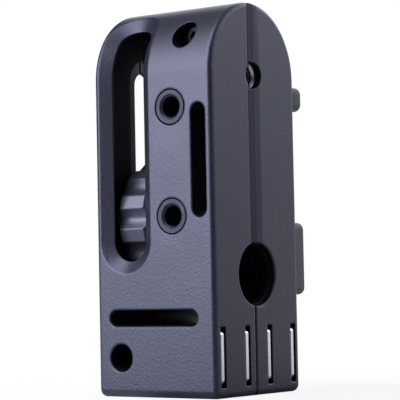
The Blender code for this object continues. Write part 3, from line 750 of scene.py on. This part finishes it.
def wheelTree():
    tree, given, result = newTree(
        "flutedWheel", "GeometryNodeTree",
        [
            ("Teeth", "NodeSocketInt", 11),
            ("Steps per Tooth", "NodeSocketInt", 20),
            ("Radius", "NodeSocketFloat", 15.4 * mm),
            ("Flute Depth", "NodeSocketFloat", 1.6 * mm),
            ("Tooth Share", "NodeSocketFloat", 0.4),
            ("Half Width", "NodeSocketFloat", 5.5 * mm),
            ("Cone Drop", "NodeSocketFloat", 2.2 * mm),
            ("Cone Width", "NodeSocketFloat", 1.8 * mm),
            ("Bore Radius", "NodeSocketFloat", 3.5 * mm),
            ("Material", "NodeSocketMaterial", None),
        ],
        [("Geometry", "NodeSocketGeometry")],
    )
    size = given.outputs
    around = calc(tree, "ADD", calc(tree, "MULTIPLY", size["Teeth"], size["Steps per Tooth"]), 1.0)
    spot = put(tree, "ShaderNodeSeparateXYZ", {0: put(tree, "GeometryNodeInputPosition").outputs[0]})
    share = calc(tree, "ADD", spot.outputs[0], 0.5)
    turn = calc(tree, "MULTIPLY", share, 2 * math.pi)
    pitch = calc(tree, "DIVIDE", 2 * math.pi, size["Teeth"])
    fromFlute = calc(tree, "PINGPONG", calc(tree, "MULTIPLY", share, size["Teeth"]), 0.5)
    fluteHalf = calc(tree, "MULTIPLY", calc(tree, "SUBTRACT", 1.0, size["Tooth Share"]), 0.5)
    across = calc(tree, "MINIMUM", calc(tree, "DIVIDE", fromFlute, fluteHalf), 1.0)
    scoop = calc(tree, "SUBTRACT", 1.0, calc(tree, "MULTIPLY", across, across))
    # A tooth's top is a flat, so it lies a little under the circle through its two edges.
    toothHalf = calc(tree, "MULTIPLY", calc(tree, "MULTIPLY", size["Tooth Share"], 0.5), pitch)
    fromTooth = calc(tree, "MULTIPLY", calc(tree, "SUBTRACT", 0.5, fromFlute), pitch)
    fromTooth = calc(tree, "MINIMUM", fromTooth, toothHalf)
    flat = calc(tree, "DIVIDE", calc(tree, "COSINE", toothHalf), calc(tree, "COSINE", fromTooth))
    rim = calc(tree, "SUBTRACT", calc(tree, "MULTIPLY", size["Radius"], flat),
               calc(tree, "MULTIPLY", size["Flute Depth"], scoop))
    shoulder = calc(tree, "SUBTRACT", size["Radius"], size["Cone Drop"])
    rise = calc(tree, "DIVIDE", calc(tree, "SUBTRACT", rim, shoulder), size["Cone Drop"])
    rise = calc(tree, "MULTIPLY", rise, size["Cone Width"])
    rightSide = size["Half Width"]
    leftSide = calc(tree, "MULTIPLY", rightSide, -1.0)
    hub = size["Bore Radius"]
    sides = (leftSide, leftSide, calc(tree, "ADD", leftSide, rise), calc(tree, "SUBTRACT", rightSide, rise),
             rightSide, rightSide, leftSide)
    radii = (hub, shoulder, rim, rim, shoulder, hub, hub)
    row = calc(tree, "MULTIPLY", calc(tree, "ADD", spot.outputs[1], 0.5), len(radii) - 1.0)
    row = put(tree, "FunctionNodeFloatToInt", {0: row}, rounding_mode="ROUND").outputs[0]
    picked = []
    for choices in (sides, radii):
        pick = put(tree, "GeometryNodeIndexSwitch", {"Index": row}, data_type="FLOAT")
        while len(pick.index_switch_items) < len(choices):
            pick.index_switch_items.new()
        for number, choice in enumerate(choices):
            tree.links.new(choice, pick.inputs[str(number)])
        picked.append(pick.outputs[0])
    side, radius = picked
    back = calc(tree, "MULTIPLY", calc(tree, "MULTIPLY", calc(tree, "COSINE", turn), radius), -1.0)
    up = calc(tree, "MULTIPLY", calc(tree, "SINE", turn), radius)
    place = put(tree, "ShaderNodeCombineXYZ", {0: side, 1: back, 2: up})
    grid = put(tree, "GeometryNodeMeshGrid",
               {"Size X": 1.0, "Size Y": 1.0, "Vertices X": around, "Vertices Y": len(radii)})
    bent = put(tree, "GeometryNodeSetPosition",
               {"Geometry": grid.outputs["Mesh"], "Position": place.outputs[0]})
    closed = put(tree, "GeometryNodeMergeByDistance", {"Geometry": bent.outputs[0], "Distance": joinDistance})
    return endTree(tree, closed.outputs[0], size["Material"], result)


def buildWheel():
    low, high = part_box("thumbwheel")
    washerLow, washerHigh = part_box("slide_washer")
    middle = Vector(((low.x + high.x) / 2, *((washerLow + washerHigh) / 2)[1:]))
    halfWidth = (high.x - low.x) / 2
    corners = [vert.co - middle for vert in frame["nodes"]["thumbwheel"].data.vertices]
    piece = runTree(wheelTree(), "thumbwheelRim", "wheel_plastic", {
        "Teeth": wheel["teeth"], "Steps per Tooth": wheel["stepsPerTooth"],
        "Radius": max(math.hypot(corner.y, corner.z) for corner in corners),
        "Flute Depth": wheel["fluteDepth"], "Tooth Share": wheel["toothShare"], "Half Width": halfWidth,
        "Cone Drop": wheel["coneDrop"], "Cone Width": wheel["coneWidth"],
        "Bore Radius": wheel["boreDiameter"] / 2,
    })
    seat(piece, Matrix.Translation(middle))
    softenEdges(piece, wheel["edge"], wheel["edgeAngle"])
    pocketEnds = (halfWidth - wheel["pocketDepth"], halfWidth + wheel["pocketOvercut"])
    pocket = turned("boltPocket", [(end, wheel["pocketFlats"] / math.sqrt(3)) for end in pocketEnds],
                    middle, "x", "wheel_plastic", 6)
    boolean(piece, pocket, "DIFFERENCE")
    shade(piece, wheel["shadeAngle"])
    ownNode(piece, "thumbwheel")
    print("thumbwheel done")


# Clamp bolt: threaded stud with a hexagon head in the wheel

bolt = {
    "crestDiameter": 6.35 * mm,
    "rootDiameter": 5.05 * mm,
    "pitch": 1.27 * mm,
    "headFlats": 11.1 * mm,
    "headHeight": 4.0 * mm,
    "headOverlap": 1.0 * mm,
    "headEdge": 0.25 * mm,
    "point": 0.6 * mm,
    "plain": 9.2 * mm,  # head and plain shank
    "neck": 0.5 * mm,
    "threadTrim": 0.9 * mm,  # shorter than tip to shank
}


def buildBolt():
    low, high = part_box("clamp_screw")
    middle = (low + high) / 2
    tip = Vector((low.x, middle.y, middle.z))
    length = high.x - low.x
    root, stud, point = bolt["rootDiameter"] / 2, bolt["crestDiameter"] / 2, bolt["point"]
    headAt = length - bolt["headHeight"]
    shankAt = length - bolt["plain"]
    profile = [(0, root - point), (point, root), (shankAt - bolt["neck"], root), (shankAt, stud),
               (headAt + bolt["headOverlap"], stud)]
    piece = turned("clampBolt", profile, tip, "x", "plated_steel")
    headRadius = bolt["headFlats"] / math.sqrt(3)
    head = turned("boltHead", [(headAt, headRadius), (length, headRadius)], tip, "x", "plated_steel", 6)
    softenEdges(head, bolt["headEdge"])
    boolean(piece, head, "UNION")
    shade(piece)
    ownNode(piece, "clamp_screw")
    thread = cutThread("clampBoltThread", "plated_steel", bolt, shankAt - bolt["threadTrim"], "x",
                       tip + Vector((point, 0, 0)))
    shade(thread)
    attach(thread, "knob")
    print("clamp bolt done")


# Small pieces keep the CAD shape with their edges broken

smallEdges = {
    "slide_washer": 0.15 * mm,
    "upper_screw": 0.12 * mm,
    "lower_screw": 0.12 * mm,
    "upper_nut": 0.20 * mm,
    "lower_nut": 0.20 * mm,
    "front_outer_pole": 0.14 * mm,
    "front_inner_pole": 0.14 * mm,
    "rear_inner_pole": 0.14 * mm,
    "rear_outer_pole": 0.14 * mm,
    "front_magnet": 0.30 * mm,
    "rear_magnet": 0.30 * mm,
    "strap_peg": 0.10 * mm,
    "strap_cleat": 0.10 * mm,
}


def camel(node):
    first, *rest = node.split("_")
    return first + "".join(word.capitalize() for word in rest)


def buildSmallPieces():
    for node, edge in smallEdges.items():
        piece = copyNode(node, camel(node))
        softenEdges(piece, edge)
        shade(piece)
        # painted shade: the screws sit deep in their holes
        if node.endswith("_screw"):
            piece.data.materials[0] = shadedScrew
        ownNode(piece, node)
    print("small pieces done:", len(smallEdges))


# Camera at the photograph's standpoint

camera = {
    "focalPixels": 1754.9,
    "imagePixels": 400,
    "sensor": 36.0,
    "azimuth": 36.459,
    "tilt": 2.773,
    "roll": -1.139,
    "standpoint": (272.03 * mm, -366.81 * mm, 28.13 * mm),  # from the middle of the block's base
    "nearest": 10 * mm,
}


def buildCamera():
    azimuth, tilt, roll = (math.radians(camera[name]) for name in ("azimuth", "tilt", "roll"))
    ahead = Vector((-math.sin(azimuth) * math.cos(tilt), math.cos(azimuth) * math.cos(tilt), math.sin(tilt)))
    levelRight = Vector((math.cos(azimuth), math.sin(azimuth), 0))
    levelUp = levelRight.cross(ahead)
    right = math.cos(roll) * levelRight + math.sin(roll) * levelUp
    up = math.cos(roll) * levelUp - math.sin(roll) * levelRight
    pose = Matrix((right, up, -ahead)).transposed().to_4x4()
    pose.translation = blockMiddle + Vector(camera["standpoint"])
    lens = bpy.data.cameras.new("camera")
    lens.sensor_width = camera["sensor"]
    lens.lens = camera["sensor"] * camera["focalPixels"] / camera["imagePixels"]
    lens.clip_start = camera["nearest"]
    holder = bpy.data.objects.new("camera", lens)
    holder.matrix_world = pose
    scene.collection.objects.link(holder)
    scene.camera = holder


# Studio: pale backdrop behind, dim on the camera's side, soft lights from the left front and from above it

studio = {
    "keyWay": (-0.436, -0.877, 0.200),
    "keySpread": (43.0, 6.0),  # degrees, from where it starts to where it is full
    "keyLevel": 7.3,
    "topWay": (-0.220, -0.604, 0.766),
    "topSpread": (36.0, 8.0),
    "topLevel": 4.6,
    "backdropWay": (0.391, 0.920, 0.0),
    "backdrop": 2.03,
    "backdropRise": (0.32, 1.0),
    "riseHeight": 0.36,
    "dim": 0.04,
    "wallEdge": (0.15, 0.60),
    "ceilingEdge": (0.60, 0.90),
    "ceiling": 0.33,
    "tint": (0.95, 0.97, 1.05),
}


def buildWorld():
    world = bpy.data.worlds.new("studio")
    world.use_nodes = True
    scene.world = world
    tree = world.node_tree
    way = put(tree, "ShaderNodeTexCoord").outputs["Generated"]
    wall = ramp(tree, facing(tree, way, studio["backdropWay"]), *studio["wallEdge"], studio["dim"],
                studio["backdrop"], smooth=True)
    height = put(tree, "ShaderNodeSeparateXYZ", {0: way}).outputs[2]
    overhead = ramp(tree, height, *studio["ceilingEdge"], smooth=True)
    rise = ramp(tree, height, 0.0, studio["riseHeight"], *studio["backdropRise"], smooth=True)
    room = {0: overhead, 2: calc(tree, "MULTIPLY", wall, rise), 3: studio["ceiling"]}
    level = put(tree, "ShaderNodeMix", room, data_type="FLOAT").outputs[0]
    for lamp in ("key", "top"):
        aside = calc(tree, "ARCCOSINE", facing(tree, way, studio[lamp + "Way"]))
        edge, core = (math.radians(angle) for angle in studio[lamp + "Spread"])
        glow = ramp(tree, aside, edge, core, 0.0, studio[lamp + "Level"], smooth=True)
        level = calc(tree, "ADD", level, glow)
    seen = put(tree, "ShaderNodeLightPath").outputs["Is Camera Ray"]
    fill(tree, tree.nodes["Background"], {
        "Strength": put(tree, "ShaderNodeMix", {0: seen, 2: level, 3: 1.0}, data_type="FLOAT").outputs[0],
        "Color": mixColours(tree, seen, studio["tint"], (1.0, 1.0, 1.0)),
    })


paper = {
    "half": 2.0,
    "gap": 0.02 * mm,  # under the block
    # painted shade on the floor: pale elsewhere, darker to the right of the camera
    "tone": (0.72, 0.25),  # elsewhere, and right of the camera
    "shadeWay": (0.954, -0.300, 0.0),
    "shadeEdge": (0.0, 0.6),
    "near": 0.90,  # share of plain white by the block, where the rest takes its shadow
    "fade": (0.06, 0.35),
    "glossWay": (-0.707, 0.707, 0.0),
    "glossEdge": (0.0, 0.9),
}


def buildFloor():
    bm = bmesh.new()
    bmesh.ops.create_grid(bm, x_segments=1, y_segments=1, size=paper["half"])
    mesh = bpy.data.meshes.new("floor")
    bm.to_mesh(mesh)
    bm.free()
    floor = bpy.data.objects.new("floor", mesh)
    floor.location.z = cadLow.z - paper["gap"]
    scene.collection.objects.link(floor)
    material = bpy.data.materials.new("floorPaper")
    material.use_nodes = True
    tree = material.node_tree
    tree.nodes.clear()
    place = put(tree, "ShaderNodeTexCoord").outputs["Object"]
    far = put(tree, "ShaderNodeVectorMath", {0: place}, operation="LENGTH").outputs["Value"]
    fade = ramp(tree, far, *paper["fade"], paper["near"], 1.0, smooth=True)
    aside = put(tree, "ShaderNodeVectorMath", {0: place}, operation="NORMALIZE").outputs[0]
    # Painted shade: the floor's colour darkens towards the camera's right.
    tone = ramp(tree, facing(tree, aside, paper["shadeWay"]), *paper["shadeEdge"], *paper["tone"], smooth=True)
    gloss = ramp(tree, facing(tree, aside, paper["glossWay"]), *paper["glossEdge"], smooth=True)
    path = put(tree, "ShaderNodeLightPath").outputs
    seen = calc(tree, "MAXIMUM", path["Is Camera Ray"], path["Is Transmission Ray"])
    seen = calc(tree, "MAXIMUM", seen, calc(tree, "MULTIPLY", path["Is Glossy Ray"], gloss))
    mixed = put(tree, "ShaderNodeMixShader", {0: calc(tree, "MULTIPLY", seen, fade)})
    matt = put(tree, "ShaderNodeBsdfDiffuse", {"Color": tone})
    white = put(tree, "ShaderNodeEmission", {"Color": (1.0, 1.0, 1.0, 1.0), "Strength": 1.0})
    tree.links.new(matt.outputs[0], mixed.inputs[1])
    tree.links.new(white.outputs[0], mixed.inputs[2])
    put(tree, "ShaderNodeOutputMaterial", {"Surface": mixed.outputs[0]})
    mesh.materials.append(material)


buildHousing()
buildBushings()
buildWheel()
buildBolt()
buildSmallPieces()
buildCamera()
buildWorld()
buildFloor()
print("camera and studio done")
